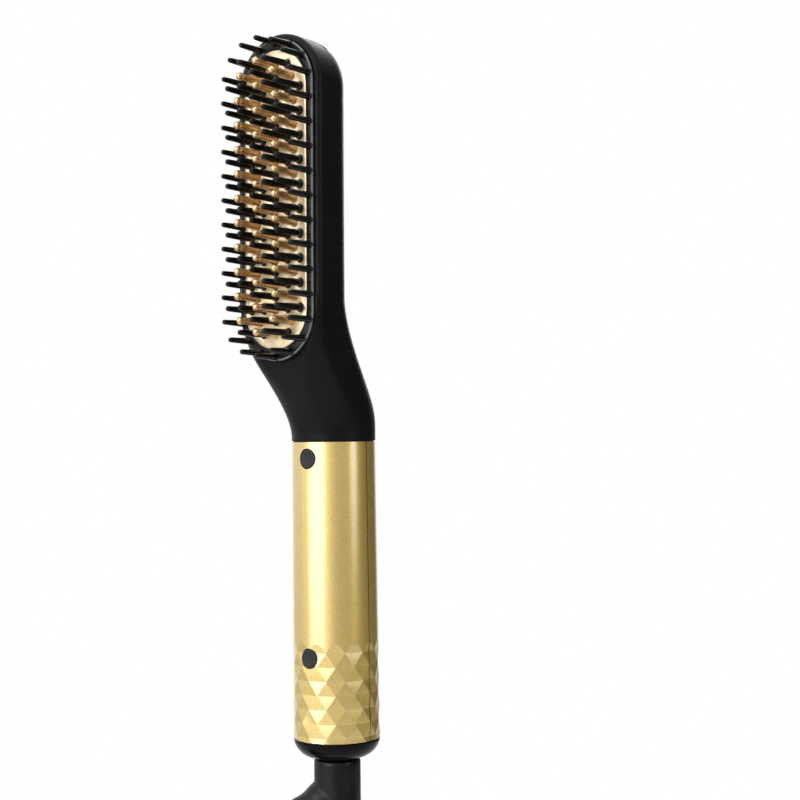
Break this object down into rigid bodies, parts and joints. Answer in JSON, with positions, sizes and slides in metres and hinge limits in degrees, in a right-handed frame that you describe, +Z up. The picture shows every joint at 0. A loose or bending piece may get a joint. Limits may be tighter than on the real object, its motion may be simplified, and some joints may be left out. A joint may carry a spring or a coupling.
{
  "type": "heated beard comb",
  "caption": "Heated comb: round handle with a faceted foot and a slide switch, offset oval head with a toothed hot plate and bristles, and a swivelling cord with a hank and plug.",
  "frame": {"origin": "on the handle's axis at the middle of the grip", "axes": "+Z up the handle towards the head, the bristles point to -Y and the switch faces +Y"},
  "size_m": [0.101, 0.0898, 0.5137],
  "materials": {
    "champagne": "metallic paint, satin",
    "body_black": "matte with fine grain",
    "frame_black": "satin",
    "cap_black": "gloss",
    "plate_metal": "anodised, satin",
    "plug_rubber": "matte",
    "screw_steel": "plated",
    "collar_black": "matte",
    "heater_ceramic": "fired",
    "film_amber": "insulating film",
    "clamp_steel": "plain",
    "board_green": "solder resist",
    "chip_black": "matte",
    "part_yellow": "moulded",
    "relay_blue": "moulded",
    "lens_smoke": "translucent",
    "led_body": "clear",
    "wire_white": "insulation",
    "copper": "plain",
    "carbon": "carbon",
    "cord_black": "matte",
    "tie_black": "matte",
    "blade_brass": "plated"
  },
  "bodies": {
    "comb": {"head_shell": "body_black", "neck_collar": "collar_black", "bristle_frame": "frame_black", "heating_plate": "plate_metal", "bristle_pad": "body_black", "heater_element": "heater_ceramic", "heater_film": "film_amber", "heater_clamp": "clamp_steel", "clamp_screws": "screw_steel", "thermal_cutout": "clamp_steel", "heater_leads": "wire_white", "handle_front_shell": "champagne", "handle_back_shell": "champagne", "screw_plugs": "plug_rubber", "handle_screws": "screw_steel", "slide_switch": "clamp_steel", "circuit_board": "board_green", "board_screws": "screw_steel", "control_chip": "chip_black", "power_capacitor": "part_yellow", "power_relay": "relay_blue", "indicator_led": "led_body", "lamp_lens": "lens_smoke", "end_cap": "cap_black", "contact_carrier": "chip_black", "contact_brushes": "carbon", "supply_leads": "wire_white"},
    "switch": {"switch_button": "body_black", "switch_lever": "chip_black"},
    "swivel": {"swivel_elbow": "body_black", "retaining_clip": "clamp_steel", "slip_rings": "copper", "strain_relief": "cord_black", "cord": "cord_black", "cord_hank": "cord_black", "cord_tie": "tie_black", "cord_tail": "cord_black", "plug_body": "cord_black", "plug_blades": "blade_brass"}
  },
  "joints": [
    {"name": "switch_slide", "type": "slide", "parent": "comb", "child": "switch", "axis": [0, 0, 1], "range_m": [0, 0.0052]},
    {"name": "cord_swivel", "type": "hinge", "parent": "comb", "child": "swivel", "pos_m": [0, 0, -0.06], "axis": [0, 0, 1], "continuous": true}
  ]
}
